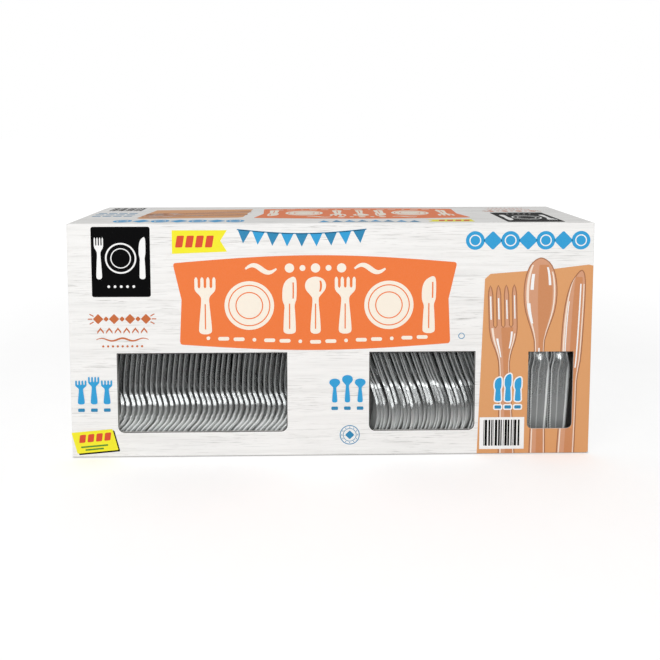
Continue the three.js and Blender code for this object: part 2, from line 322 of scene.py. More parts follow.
# How a fork leans along its nest, from the tine tips up, as its side shows
FORK_LEAN = [(0, -18), (8, -14.6), (20, -6.4), (26, -0.8), (31, 2.2), (37, 3.3), (42, 3.0), (49, 0.2),
             (56, -0.1), (64, 0.1), (86, 2.6), (120, 6), (179, 9)]
FORK_WIDTH = [(0, 18.6), (10, 20.2), (22, 21.2), (35, 21.2), (38.5, 20.9), (40.5, 19.8), (43, 17.7),
              (46, 15.2), (48.5, 13.1), (50, 12.3), (54, 10.6), (60, 8.8), (70, 8.2), (110, 9.2),
              (150, 11.8), (170, 13), (176, 11.4), (179, 6)]
FORK_DISH = [(0, 0.3), (18, 1.2), (31, 2.0), (39, 1.0), (47, 0.4), (179, 0.3)]
FORK_FLANGE = [(31, 0), (36, 1.5), (41, 2.2), (48, 2.2), (56, 1.8), (150, 1.8), (172, 1.4), (179, 0.3)]
FORK_LIP = [(31, 0), (36, 1.2), (41, 2.1), (48, 2.1), (52, 0.9), (58, 0.6), (150, 0.6), (179, 0.2)]
TINE_BULGE = [(0, 0.2), (7, 1.5), (24, 1.9), (31, 0.4)]
TINE_ROOT = 31
TINE_SHARE = 0.176
GAP_SHARE = (1 - 4 * TINE_SHARE) / 3
HEAD_SHARES = [0, 0.008, 0.13, 0.25, 0.36, 0.45, 0.55, 0.64, 0.75, 0.87, 0.992, 1]
FORK_LEVELS = [0, 1.2, 3.5, 7, 11, 15, 19, 22, 25, 27.5, 29, 30.2, 31, 32.5, 34.5, 37, 39, 40.5, 43,
               45.5, 47.5, 49, 51, 54, 58, 64, 72, 82, 95, 110, 126, 142, 156, 166, 172, 176, 178.3,
               179]
TIP_ROUND = 9
ROOT_ROUND = 2.5


def fork_point(level, column):
    """One point of a fork's net. Three columns make each tine, and the outer two on each side
    of the head and handle make its flange."""
    tine, part = divmod(column, 3)
    half = TINE_SHARE / 2
    if level < TIP_ROUND:
        half *= 0.32 + 0.68 * math.sqrt(level / TIP_ROUND)
    elif level > TINE_ROOT - ROOT_ROUND:
        near = (level - TINE_ROOT + ROOT_ROUND) / ROOT_ROUND
        half += GAP_SHARE * 0.42 * (1 - math.sqrt(max(0, 1 - near**2)))
    share = -0.5 + TINE_SHARE / 2 + tine * (TINE_SHARE + GAP_SHARE) + (part - 1) * half
    if level > TINE_ROOT:
        share = HEAD_SHARES[column] - 0.5
    y = share * (smooth_between(FORK_WIDTH, level) - WALL / MM)
    x = smooth_between(FORK_LEAN, level) + smooth_between(FORK_DISH, level) * (1 - (2 * share) ** 2)
    if level > TINE_ROOT and 0 < column < 11:
        x += smooth_between(FORK_LIP if column in (1, 10) else FORK_FLANGE, level)
    elif level < TINE_ROOT and part == 1:
        x += smooth_between(TINE_BULGE, level)
    return (x * MM, y * MM, level * MM)


# The faces beside a fork's edge above its shoulder get a painted highlight streak
fork_mesh = moulding("fork", FORK_LEVELS, 12, fork_point,
                     lambda column, level: column % 3 == 2 and level < TINE_ROOT,
                     lambda column, level: 0.4 if column in (0, 10) and level > 48 else 0.0)


def nest_tree():
    """Repeats one moulding along a line, each a little off true, as a packer's hand leaves it."""
    tree = bpy.data.node_groups.new("nest", "GeometryNodeTree")
    sockets = {}
    for name, kind in (("Moulding", "Geometry"), ("Count", "Int"), ("Start", "Vector"),
                       ("Pitch", "Vector"), ("Slip", "Vector"), ("Tilt", "Vector"), ("Seed", "Int"),
                       ("Plastic", "Material")):
        item = tree.interface.new_socket(name, in_out="INPUT", socket_type="NodeSocket" + kind)
        sockets[name] = item.identifier
    tree.interface.new_socket("Nest", in_out="OUTPUT", socket_type="NodeSocketGeometry")
    given = add(tree, "NodeGroupInput").outputs
    line = add(tree, "GeometryNodeMeshLine", {"Count": given["Count"], "Start Location": given["Start"],
                                              "Offset": given["Pitch"]})
    next_seed = add(tree, "ShaderNodeMath", [given["Seed"], 1.0], operation="ADD")

    def either_way(most, seed):
        least = add(tree, "ShaderNodeVectorMath", [most, (-1.0, -1.0, -1.0)], operation="MULTIPLY")
        return add(tree, "FunctionNodeRandomValue", {0: least, 1: most, "Seed": seed},
                   data_type="FLOAT_VECTOR")

    slip = either_way(given["Slip"], given["Seed"])
    tilt = either_way(given["Tilt"], next_seed)
    moved = add(tree, "GeometryNodeSetPosition", {"Geometry": line, "Offset": slip})
    single = add(tree, "GeometryNodeGeometryToInstance", [given["Moulding"]])
    copies = add(tree, "GeometryNodeInstanceOnPoints", {"Points": moved, "Instance": single,
                                                        "Rotation": tilt})
    real = add(tree, "GeometryNodeRealizeInstances", [copies])
    dressed = add(tree, "GeometryNodeSetMaterial", {"Geometry": real, "Material": given["Plastic"]})
    add(tree, "NodeGroupOutput", [dressed])
    return tree, sockets


nest, nest_inputs = nest_tree()
polished = bpy.data.collections.new("polished_plastic")


def pack_nests(kind, node, nests, count, axis, mesh, slip, tilt, seed, plastic):
    """Stands each nest of a kind where its CAD node is, among what the plastic's lamps light.
    The mouldings are spread evenly along one axis, between the two ends of the node."""
    places = [corner.co[axis] for corner in mesh.vertices]
    for number in range(1, nests + 1):
        name, replaced = f"{kind}_{number}", f"{node}_{number}"
        low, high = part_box(replaced)
        start = [(low.x + high.x) / 2, (low.y + high.y) / 2, low.z + slip.z]
        start[axis] = low[axis] + slip[axis] - min(places)
        pitch = [0.0, 0.0, 0.0]
        room = high[axis] - low[axis] - 2 * slip[axis] - max(places) + min(places)
        pitch[axis] = room / (count - 1)
        host = stand(name + "_host", mesh.copy())
        repeat = host.modifiers.new("nest", "NODES")
        repeat.node_group = nest
        for key, value in (("Count", count), ("Start", start), ("Pitch", pitch), ("Slip", slip),
                           ("Tilt", tilt), ("Seed", seed + number), ("Plastic", plastic)):
            repeat[nest_inputs[key]] = value
        made = evaluated_mesh(host)
        made.name = name
        piece = stand(name, made)
        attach(piece, "root")
        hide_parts(replaced)
        polished.objects.link(piece)


FORK_SLIP = Vector((0.14, 0.1, 0.8)) * MM
FORK_TILT = (0.012, 0.004, 0.012)
pack_nests("forks", "fork_row", FORK_ROWS, FORKS_IN_ROW, 0, fork_mesh, FORK_SLIP, FORK_TILT, 20,
           fork_plastic)


# Spoons
# The same clear polystyrene, with a deep oval bowl. They stand on their bowls in four rows
# of 30, and their rounded backs catch the light where they bulge to one side.
SPOONS_IN_ROW = 30
SPOON_ROWS = 4
SPOON_LEAN = [(0, 8), (6, 10.6), (14, 14), (24, 16.6), (34, 16.8), (42, 15.4), (50, 12.8), (57, 10.2),
              (70, 5.6), (86, 0), (110, -5.6), (140, -9.8), (166, -12)]
SPOON_WIDTH = [(0, 3), (1.5, 9.4), (5, 16), (12, 23), (20, 26.4), (30, 26.6), (35, 25.6), (38, 23.5),
               (42, 20.2), (46, 16.8), (50, 13.5), (53, 11), (57, 9.4), (64, 8.4), (90, 8.8), (130, 11),
               (156, 13), (163, 11), (166, 5.5)]
SPOON_DISH = [(0, 0.2), (6, 3.2), (16, 5.6), (28, 6.4), (38, 4.6), (48, 1.6), (56, 0.6), (166, 0.3)]
SPOON_FLANGE = [(0, 0), (22, 0.2), (35, 1.3), (42, 1.9), (56, 2.0), (66, 1.7), (150, 1.7), (162, 1.0),
                (166, 0.2)]
SPOON_LIP = [(0, 0), (22, 0.2), (35, 1.3), (42, 1.9), (53, 1.9), (58, 1.0), (66, 0.7), (150, 0.6),
             (166, 0.1)]
SPOON_SLIP = Vector((0.5, 0.25, 2.4)) * MM
SPOON_TILT = (0.012, 0.016, 0.08)
SPOON_LEVELS = [0, 0.5, 1.5, 3.5, 6.5, 10, 14, 18.5, 23, 27.5, 31, 34, 36.5, 39, 42, 46, 50, 53, 56,
                60, 66, 74, 84, 98, 114, 130, 144, 154, 160, 163.5, 165.4, 166]
SPOON_SHARES = [-1, -0.98, -0.85, -0.64, -0.42, -0.21, 0, 0.21, 0.42, 0.64, 0.85, 0.98, 1]
spoon_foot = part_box("spoon_row_1")[0].z
spoon_plastic = clear_polystyrene("moulded_clear_polystyrene_spoons", 0.36, 0.62, 0.75,
                                  "7C7C7C", "DDDDDC", spoon_foot + 50 * MM, spoon_foot + 20 * MM)


def spoon_point(level, column):
    """One point of a spoon's net: a deep oval bowl, and a handle with a flange down each side."""
    share = SPOON_SHARES[column]
    y = share * (smooth_between(SPOON_WIDTH, level) - WALL / MM) / 2
    x = smooth_between(SPOON_LEAN, level) + smooth_between(SPOON_DISH, level) * (1 - abs(share) ** 2.2)
    if abs(share) < 1:
        x += smooth_between(SPOON_LIP if abs(share) > 0.9 else SPOON_FLANGE, level)
    return (x * MM, y * MM, level * MM)


def spoon_painted_streak(column, level):
    """How much painted highlight the faces beside a spoon's edge get, as streaks up its handle."""
    if column not in (0, 11) or level <= 49:
        return 0.0
    return 0.4 if level > 66 else 0.6


spoon_mesh = moulding("spoon", SPOON_LEVELS, len(SPOON_SHARES), spoon_point, painted_streak_at=spoon_painted_streak)
pack_nests("spoons", "spoon_row", SPOON_ROWS, SPOONS_IN_ROW, 0, spoon_mesh, SPOON_SLIP, SPOON_TILT,
           40, spoon_plastic)


# Knives
# The same plastic again: a serrated blade, a raised bead along its back and a channelled
# handle. They stand on their points in three columns of 20, flat to the windows.
KNIVES_IN_COLUMN = 20
KNIFE_COLUMNS = 3
KNIFE_BACK = [(0, 1.6), (4, 3.8), (14, 5.4), (40, 6.9), (64, 7.7), (70, 7.4), (78, 5.6), (84, 6.0),
              (120, 6.8), (172, 7), (183, 6.2), (188, 3)]
KNIFE_EDGE = [(0, 0.6), (3, -2.2), (8, -5.4), (16, -7.4), (30, -7.7), (66, -7.5), (76, -5.6),
              (84, -6.0), (120, -6.8), (172, -7), (183, -6.2), (188, -3)]
KNIFE_RIB = [(0, 0.1), (20, 0.3), (64, 0.4), (68, 1.6), (72, 3.2), (74, 3.3), (82, 0.1), (85, 0.3),
             (92, 2.8), (170, 2.8), (184, 1.2), (188, 0.2)]
# How much painted highlight each listed knife column's faces get, as pale streaks along the knife
KNIFE_PAINTED_STREAKS = {0: 0.8, 3: 0.5, 6: 1.0}
KNIFE_SLIP = Vector((0.18, 0.15, 0.6)) * MM
KNIFE_TILT = (0.004, 0.012, 0.012)
BLADE_END = 72
# The bead along a blade's back: its height in mm, its place across the blade and its spread
KNIFE_BEAD = (0.7, 0.9, 0.06)
TOOTH = 2.1
TOOTH_DEPTH = 0.55
SERRATED = (10, 64)
KNIFE_SHARES = [0, 0.06, 0.16, 0.36, 0.42, 0.66, 0.84, 0.93, 1]
teeth = int((SERRATED[1] - SERRATED[0]) / TOOTH)
KNIFE_LEVELS = ([0, 1, 3, 6, 8.5] + [SERRATED[0] + TOOTH / 2 * step for step in range(2 * teeth + 1)]
                + [66, 69, 72, 74, 76, 79, 82, 85, 92, 104, 120, 138, 156, 170, 178, 183, 186, 188])


def knife_point(level, column):
    """One point of a knife's net, from its cutting edge across to its back."""
    edge = smooth_between(KNIFE_EDGE, level)
    spine = smooth_between(KNIFE_BACK, level)
    if SERRATED[0] <= level <= SERRATED[1] and round((level - SERRATED[0]) / TOOTH * 2) % 2:
        edge += TOOTH_DEPTH
    share = KNIFE_SHARES[column]
    raised = min(1.0, max(0.0, (0.46 - abs(share - 0.5)) / 0.16))
    height, at, spread = KNIFE_BEAD
    bead = height * math.exp(-((share - at) / spread) ** 2) if level < BLADE_END else 0.0
    rib = smooth_between(KNIFE_RIB, level) * raised
    return ((edge + (spine - edge) * share) * MM, -(rib + bead) * MM, level * MM)


knife_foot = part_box("knife_column_1")[0].z
knife_plastic = clear_polystyrene("moulded_clear_polystyrene_knives", 0.34, 0.7, 0.9,
                                  "939393", "A9A9A9", knife_foot + 78 * MM, knife_foot + 20 * MM)
knife_mesh = moulding("knife", KNIFE_LEVELS, len(KNIFE_SHARES), knife_point,
                      painted_streak_at=lambda column, level: KNIFE_PAINTED_STREAKS.get(column, 0.0))
pack_nests("knives", "knife_column", KNIFE_COLUMNS, KNIVES_IN_COLUMN, 1, knife_mesh, KNIFE_SLIP,
           KNIFE_TILT, 60, knife_plastic)


# Print on the carton
# Offset-printed inks under a clear varnish, laid on the board in thin layers. The shapes are
# plain fields of colour, bunting, dots and table-setting signs, with no lettering.
FILM_OF_INK = 0.03 * MM
INK_MOTTLE = 0.9 * MM
# How far from the carton's corner a fold begins, and where its facets meet, in mm
FOLD = 1.4
FOLD_FACETS = (1.4, 0.7875, 0.35)
FILM_LAP = 8
front_width = (carton_high.x - carton_low.x) / MM


def printing_ink(name, colour, mottle=0.05, sheen=0.15):
    """Printed and varnished ink: even and semi-gloss, with a faint mottle from the board."""
    material, tree = new_material("offset_ink_" + name)
    place = add(tree, "ShaderNodeTexCoord").outputs["Object"]
    noise = add(tree, "ShaderNodeTexNoise", {"Vector": place, "Scale": 1 / INK_MOTTLE, "Detail": 3.0})
    full = ink(colour)
    pale = tuple(c + (1 - c) * mottle for c in full[:3]) + (1.0,)
    tone = add(tree, "ShaderNodeMix", {0: noise, 6: full, 7: pale}, data_type="RGBA").outputs[2]
    rough = add(tree, "ShaderNodeMapRange", {0: noise, 3: 0.4, 4: 0.5})
    board = add(tree, "ShaderNodeBsdfPrincipled", {
        "Base Color": tone, "Roughness": rough, "IOR": 1.5, "Specular IOR Level": sheen,
    })
    add(tree, "ShaderNodeOutputMaterial", [board])
    return material


INKS = {name: printing_ink(name, code) for name, code in (
    ("orange", "F47A33"), ("rust", "C9682F"), ("cream", "FDF3E3"), ("tan", "E2A168"),
    ("tan_deep", "D18C5C"), ("tan_rose", "D99E7A"), ("tan_dark", "A96C45"), ("tan_pale", "FBE6D4"),
    ("blue", "20A0DA"), ("deep_blue", "1A86B6"), ("yellow", "FAF01B"), ("red", "E0461F"),
    ("green", "4C8A2B"),
)}
INKS["black"] = printing_ink("black", "050506", mottle=0.003, sheen=0.03)
INKS["white"] = printing_ink("white", "FBFBFA", mottle=0.0)


def turned(shape, at, degrees=0.0, size=1.0):
    """A shape's outlines turned, sized and moved to a place on the panel."""
    c = math.cos(math.radians(degrees)) * size
    s = math.sin(math.radians(degrees)) * size
    return [[(at[0] + u * c - v * s, at[1] + u * s + v * c) for u, v in ring] for ring in shape]


def disc(radius, hole=0.0, sides=40):
    """A round spot, or a ring if it has a hole."""
    rings = [radius, hole] if hole else [radius]
    turns = [2 * math.pi * side / sides for side in range(sides)]
    return [[(r * math.cos(turn), r * math.sin(turn)) for turn in turns] for r in rings]


def plate(width, height, corner, lean=0.0):
    """A rectangle with round corners about its middle. lean pushes its top sideways."""
    ring = []
    for quarter, (su, sv) in enumerate(((1, 1), (-1, 1), (-1, -1), (1, -1))):
        for step in range(5):
            angle = math.radians(90 * quarter + 22.5 * step)
            u = su * (width / 2 - corner) + corner * math.cos(angle)
            v = sv * (height / 2 - corner) + corner * math.sin(angle)
            ring.append((u + lean * v / height, v))
    return [ring]


def stroke(path, width, closed=False):
    """A line along a path, of one width or of a width for each point."""
    count = len(path)
    widths = width if isinstance(width, list) else [width] * count
    left, right = [], []
    for i, (u, v) in enumerate(path):
        before = path[i - 1] if closed or i else path[0]
        after = path[(i + 1) % count] if closed or i < count - 1 else path[-1]
        du, dv = after[0] - before[0], after[1] - before[1]
        size = math.hypot(du, dv) or 1.0
        nu, nv = -dv / size * widths[i] / 2, du / size * widths[i] / 2
        left.append((u + nu, v + nv))
        right.append((u - nu, v - nv))
    return [left, right] if closed else [left + right[::-1]]


def wave(length, height, turns, width, points=28):
    """A wavy rule, thinner at both ends."""
    path, widths = [], []
    for step in range(points + 1):
        t = step / points
        path.append((length * (t - 0.5), height * math.sin(2 * math.pi * turns * t)))
        widths.append(width * (0.35 + 0.65 * math.sin(math.pi * t)))
    return stroke(path, widths)


# The right and left sides of each kind of cutlery: (share of its length, share of half its width)
FORK_SIDE = [(0, 0.16), (0.008, 0.34), (0.03, 0.54), (0.08, 0.61), (0.3, 0.52), (0.55, 0.39),
             (0.64, 0.4), (0.69, 0.58), (0.74, 0.85), (0.79, 0.98), (0.83, 1), (1, 1)]
SPOON_SIDE = [(0, 0.14), (0.008, 0.28), (0.03, 0.44), (0.08, 0.49), (0.3, 0.42), (0.56, 0.3),
              (0.64, 0.33), (0.7, 0.6), (0.77, 0.9), (0.84, 1), (0.91, 0.92), (0.96, 0.7),
              (0.985, 0.44), (0.997, 0.18), (1, 0.05)]
KNIFE_HANDLE = [(0, 0.25), (0.01, 0.55), (0.03, 0.8), (0.08, 0.87), (0.4, 0.76)]
KNIFE_SPINE = [(0.5, 0.7), (0.54, 0.78), (0.6, 0.94), (0.75, 1), (0.93, 0.96), (0.985, 0.8), (1, 0.6)]
KNIFE_BELLY = [(0.48, 0.7), (0.53, 0.82), (0.58, 0.98), (0.75, 1), (0.86, 0.82), (0.94, 0.42),
               (0.985, -0.14), (1, -0.45)]
SIDES = {"fork": (FORK_SIDE, FORK_SIDE), "spoon": (SPOON_SIDE, SPOON_SIDE),
         "knife": (KNIFE_HANDLE + KNIFE_SPINE, KNIFE_HANDLE + KNIFE_BELLY)}


def blade(kind, length, width, low=0.0, high=1.0, left=-1.0, right=1.0, steps=34):
    """The silhouette of a piece of cutlery standing on its handle, or a band of it."""
    def across(share, height):
        side = SIDES[kind][0 if share > 0 else 1]
        return share * smooth_between(side, height) * width / 2

    heights = [low + (high - low) * (1 - math.cos(math.pi * step / steps)) / 2
               for step in range(steps + 1)]
    return [[(across(right, height), height * length) for height in heights]
            + [(across(left, height), height * length) for height in reversed(heights)]]


def fork_sign(length, width):
    """A fork's silhouette, with its four tines."""
    root, half = 0.8 * length, width / 2
    tine, space = 0.155 * half, 0.28 * half
    (body,) = blade("fork", length, width, high=0.8)
    sides = len(body) // 2
    ring = body[:sides]
    for step in range(4):
        middle = 0.845 * half - step * 0.563 * half
        ring += [(middle + tine * across, length * up)
                 for across, up in ((1, 0.955), (0.6, 0.985), (0, 1), (-0.6, 0.985), (-1, 0.955))]
        if step < 3:
            ring += [(middle - tine - space * across, root + space * up)
                     for across, up in ((0, 0.6), (0.45, 0), (0.9, 0.6))]
    return [ring + body[sides:]]


def sign(kind, length, width):
    """One table-setting sign."""
    return fork_sign(length, width) if kind == "fork" else blade(kind, length, width)


def clipped(ring, axis, limit, above):
    """The part of an outline on one side of an upright line (axis 0) or a level one (axis 1)."""
    kept = []
    for start, end in zip(ring, ring[1:] + ring[:1]):
        inside = (start[axis] >= limit) == above
        if inside:
            kept.append(start)
        if inside != ((end[axis] >= limit) == above):
            t = (limit - start[axis]) / (end[axis] - start[axis])
            kept.append((start[0] + (end[0] - start[0]) * t, start[1] + (end[1] - start[1]) * t))
    return kept


def cut(rings, axis, limit):
    """Outlines cut in two along a line."""
    parts = [clipped(ring, axis, limit, above) for ring in rings for above in (True, False)]
    return [part for part in parts if len(part) > 2]


def over_folds(ring):
    """An outline cut where the carton's foot and right edge bend, and ended on their last facet."""
    rings = [ring]
    for facet in FOLD_FACETS[:-1]:
        rings = cut(cut(rings, 1, facet), 0, front_width - facet)
    foot, side = FOLD_FACETS[-2:]
    rings = [clipped(clipped(part, 1, foot, True), 0, front_width - side, False) for part in rings]
    return [part for part in rings if len(part) > 2]


def window_edges(kind):
    """A window's left, right, sill and lintel on the front panel."""
    low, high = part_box("window_film_" + kind)
    return ((low.x - carton_low.x) / MM + FILM_LAP, (high.x - carton_low.x) / MM - FILM_LAP,
            (low.z - carton_low.z) / MM + FILM_LAP, (high.z - carton_low.z) / MM - FILM_LAP)


WINDOW = window_edges("knives")
WINDOW_CORNER = 4.5
# How far the painted shade line round a window reaches, in mm
WINDOW_SHADE_LINE = 0.7


def window_ring(kind, spread):
    """A window's outline, let out all round: round at the sill and square at the lintel."""
    left, right, sill, lintel = window_edges(kind)
    ring = [(right + spread, lintel + spread), (left - spread, lintel + spread)]
    reach, v = WINDOW_CORNER + spread, sill + WINDOW_CORNER
    for side, u in ((-1, left + WINDOW_CORNER), (1, right - WINDOW_CORNER)):
        for step in range(7):
            angle = math.radians(15 * step if side < 0 else 90 - 15 * step)
            ring.append((u + side * reach * math.cos(angle), v - reach * math.sin(angle)))
    return ring


def beside_window(ring):
    """What is left of an outline above, below and beside the knives' window."""
    left, right, sill, lintel = WINDOW
    if not any(left < u < right and sill < v < lintel for u, v in ring):
        return [ring]
    band = clipped(clipped(ring, 1, sill, True), 1, lintel, False)
    parts = [clipped(ring, 1, lintel, True), clipped(ring, 1, sill, False)]
    parts += [clipped(band, 0, left, False), clipped(band, 0, right, True)]
    return [part for part in parts if len(part) > 2]


def sink(distance):
    """How far a fold has bent away at a distance from the carton's corner."""
    return FOLD * (1 - math.sqrt(max(distance, 0.0) / FOLD)) ** 2 * MM if distance < FOLD else 0.0


def on_front(u, v, lift):
    """A place on the front, from its lower left corner."""
    depth = sink(v) + sink(front_width - u)
    return (carton_low.x + u * MM, carton_low.y - lift + depth, carton_low.z + v * MM)


def on_top(u, v, lift):
    """A place on the top, from its back right corner: it is printed to be read from behind."""
    return (carton_high.x - u * MM, carton_high.y - v * MM, carton_high.z + lift)


def lay_print(name, shapes, place, way):
    """Makes one mesh for each printed layer of (layer, ink, outlines)."""
    for layer in sorted({shape[0] for shape in shapes}):
        points, faces, inks = [], [], []
        used = sorted({colour for level, colour, _ in shapes if level == layer})
        for level, colour, rings in shapes:
            if level != layer:
                continue
            flat = [[Vector((u, v, 0.0)) for u, v in ring] for ring in rings]
            first, lift = len(points), layer * FILM_OF_INK
            points += [place(corner.x, corner.y, lift) for ring in flat for corner in ring]
            for face in tessellate_polygon(flat):
                faces.append([first + corner for corner in face])
                inks.append(used.index(colour))
        mesh = bpy.data.meshes.new(f"{name}_print_{layer}")
        mesh.from_pydata(points, [], faces)
        for colour in used:
            mesh.materials.append(INKS[colour])
        mesh.polygons.foreach_set("material_index", inks)
        mesh.update()
        for polygon in mesh.polygons:
            if polygon.normal.dot(way) < 0:
                polygon.flip()
        mesh.update()
        piece = stand(mesh.name, mesh)
        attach(piece, "root")


shapes = []


def draw(layer, colour, shape, at=(0, 0), degrees=0.0, size=1.0):
    """Keeps a shape in its place for the panel at hand, with its printed layer and its ink."""
    shapes.append((layer, colour, turned(shape, at, degrees, size)))


def badge(u, v, height):
    """A black badge with a table setting."""
    draw(1, "black", plate(47, height, 1.8), (u, v))
    draw(2, "white", disc(12.5, 11.2), (u, v + 3))
    draw(2, "white", disc(8.2, 7.4), (u, v + 3))
    draw(2, "white", sign("fork", 34, 7.4), (u - 17.4, v - 14))
    draw(2, "white", sign("knife", 34, 5.4), (u + 17.2, v - 14))
    for step in range(5):
        draw(2, "white", disc(1.1, sides=14), (u + (step - 2) * 5.0, v - 20))


def ornament(u, v):
    """An ornament of diamonds, chevrons and a wavy rule."""
    for step in range(7):
        size = 6.0 if step % 2 == 0 else 3.2
        draw(1, "rust", plate(size, size, 0.6), (u + (step - 3) * 6.4, v + 11.5), 45)
    for step in range(6):
        chevron = [(-2.6, 0), (0, 3.4), (2.6, 0), (2.6, -1.9), (0, 1.5), (-2.6, -1.9)]
        draw(1, "rust", [chevron], (u + (step - 2.5) * 7.0, v + 1.2))
    for side in (-1, 1):
        for step in (-1, 0, 1):
            spot = (u + side * (25.6 - abs(step) * 1.2), v + 11.5 + step * 3.2)
            draw(1, "rust", plate(3.8, 0.9, 0.4), spot, side * step * 30)
    draw(1, "rust", wave(42, 1.1, 2.5, 1.5), (u, v - 5.4))
    for step in range(9):
        draw(1, "rust", disc(0.95, sides=12), (u + (step - 4) * 3.9, v - 11.0))


def label(u, v, wide, high, size):
    """An orange label with cream table settings in a row, and small cream ornaments."""
    bow = [1 - math.sin(math.pi * step / 24) for step in range(25)]
    lower = [(u - wide / 2 + 7 + (wide - 14) * i / 24, v - high / 2 + 5 * bow[i]) for i in range(25)]
    upper = [(u - wide / 2 + 2 + (wide - 4) * i / 24, v + high / 2 - 6 * bow[i]) for i in range(25)]
    right_side = [(u + wide / 2 - 5 + du, v + dv) for du, dv in (
        (-0.9, 5.7 - high / 2), (-0.3, 7.4 - high / 2), (-2, 3), (4.2, high / 2 - 8.4),
        (4, high / 2 - 6.9))]
    left_side = [(2 * u - side_u, side_v) for side_u, side_v in reversed(right_side)]
    draw(1, "orange", [lower + right_side + upper[::-1] + left_side])
    middle = v - 2 * size
    line = {"knife": (0.62, 0.9), "spoon": (0.74, 0.93)}
    for kind, width, offset in (("fork", 17, -89), ("knife", 11.5, -21), ("spoon", 17, 0),
                                ("fork", 17, 24), ("knife", 11.5, 92)):
        foot = (u + offset * size, middle - 23.5 * size)
        draw(2, "cream", sign(kind, 47, width), foot, 0, size)
        draw(3, "orange", plate(1.0, 21, 0.5), (foot[0], foot[1] + 14.5 * size), 0, size)
        if kind in line:
            draw(3, "orange", blade(kind, 47, width, *line[kind], 0.42, 0.62), foot, 0, size)
    for offset in (-53.5, 59.5):
        spot = (u + offset * size, middle)
        draw(2, "cream", disc(20, sides=56), spot, 0, size)
        draw(3, "orange", disc(17.0, 16.1, sides=56), spot, 0, size)
        draw(3, "orange", disc(11.2, 10.3, sides=56), spot, 0, size)
    for side in (-1, 1):
        spot = (u + side * 44 * size, v + 28 * size)
        draw(2, "cream", wave(25, 3.0, 1, 4.2), spot, 0, size)
    for step in range(5):
        spot = (u + (step - 2) * 10.5 * size, v + 28.6 * size)
        draw(2, "cream", disc(2.4 if step % 2 else 3.8, sides=24), spot, 0, size)
    for step in range(15):
        spot = (u + (step - 7) * 12.4 * size, v - 32.2 * size + 0.5 * abs(step - 7) * size)
        draw(2, "cream", plate(9.0 if step % 3 else 3.0, 3.0, 1.4), spot, 0, size)


def pennant(u, v, wide, high, count):
    """A yellow pennant with slanted red bars."""
    tail = wide * 0.12
    draw(1, "yellow", [[(u, v), (u + wide, v + 1.6), (u + wide - tail, v + high * 0.55),
                        (u + wide, v + high), (u, v + high)]])
    for step in range(count):
        spot = (u + wide * 0.14 + step * (wide * 0.72 / count), v + high * 0.52)
        draw(2, "red", plate(wide * 0.52 / count, high * 0.5, 0.8, lean=1.8), spot, 1)


def bunting(u, v, wide, count, sag=3.4):
    """Blue bunting on a line."""
    line = [(u + wide * i / 20, v - sag * math.sin(math.pi * i / 20)) for i in range(21)]
    draw(1, "deep_blue", stroke(line, 0.9))
    for step in range(count):
        t = (step + 0.5) / count
        half = wide / count * 0.44
        flag = [[(-half, 0), (half, 0), (0, -half * 2.1)]]
        spot = (u + wide * t, v - sag * math.sin(math.pi * t))
        draw(1, "blue" if step % 2 else "deep_blue", flag, spot, -5 * math.cos(math.pi * t))


def garland(u, v, wide, count):
    """Blue plates and lozenges in a row."""
    for step in range(count):
        spot = (u + wide * (step / (count - 1) - 0.5), v)
        if step % 2:
            draw(1, "blue", plate(11.2, 11.2, 1.4), spot, 45)
        else:
            draw(1, "blue", disc(7.6), spot)
            draw(2, "white", disc(4.8, 3.9), spot)


def trio(u, v, kind, width, spacing, edged=False):
    """Three blue signs over three dashes, edged in white where they stand on the card."""
    for place in (-1, 0, 1):
        shape = sign(kind, 20 if place else 23, width)
        foot, dash = (u + place * spacing, v), (u + place * spacing, v - 4.9)
        if edged:
            draw(7, "white", [stroke(shape[0], 2.2, closed=True)[1]], foot)
            draw(7, "white", plate(7.6, 5.0, 1.6), dash)
        draw(8, "blue", shape, foot)
        draw(8, "deep_blue", plate(5.4, 2.8, 0.8), dash)


def bars(u, v, wide, high, layer=7):
    """Bars of several widths in a white box."""
    draw(layer, "white", plate(wide, high, 0.3), (u + wide / 2, v + high / 2))
    reach, step = 3.4, 0
    while reach < wide - 4.4:
        width = 0.5 + 0.5 * (step * 7 % 4)
        spot = (u + reach + width / 2, v + high / 2 + 0.3)
        draw(layer + 1, "black", plate(width, high - 5, 0.1), spot)
        reach += width + 0.45 + 0.32 * (step * 5 % 3)
        step += 1


def clear_print(kind, at, lean, length, width, trim):
    """Cutlery printed as if it were clear: a tint with a dark rim, pale lines and highlights."""
    def place(layer, colour, shape):
        for part in trim(turned(shape, at, lean)[0]):
            draw(layer, colour, [part])

    def place_rim(layer, colour, shape, line):
        outer, inner = stroke(turned(shape, at, lean)[0], line, closed=True)
        for i, j in zip(range(len(outer)), [*range(1, len(outer)), 0]):
            for part in trim([outer[i], outer[j], inner[j], inner[i]]):
                draw(layer, colour, [part])

    place(2, "tan_rose", sign(kind, length, width))
    top = 0.8 if kind == "fork" else 0.97
    place(3, "tan_deep", blade(kind, length, width, 0.02, top, -0.15, 0.72))
    place_rim(4, "tan_dark", sign(kind, length, width), 0.8)
    place(5, "tan_pale", blade(kind, length, width, 0.03, top, -0.86, -0.7))
    place(5, "tan_pale", blade(kind, length, width, 0.1, top - 0.03, 0.8, 0.9))
    glints = {
        "fork": [(0.84, 0.95, -0.9, -0.8), (0.84, 0.94, -0.34, -0.24), (0.84, 0.93, 0.24, 0.33),
                 (0.84, 0.95, 0.8, 0.88), (0.66, 0.75, -0.6, -0.42), (0.7, 0.78, 0.55, 0.7)],
        "spoon": [(0.86, 0.93, -0.62, -0.42), (0.71, 0.8, -0.84, -0.62), (0.88, 0.96, 0.5, 0.66),
                  (0.42, 0.6, -0.2, 0.1)],
        "knife": [(0.56, 0.94, 0.46, 0.6), (0.6, 0.86, -0.66, -0.56), (0.3, 0.46, -0.2, 0.1)],
    }[kind]
    for low, high, left, right in glints:
        place(6, "white", blade(kind, length, width, low, high, left, right, steps=12))


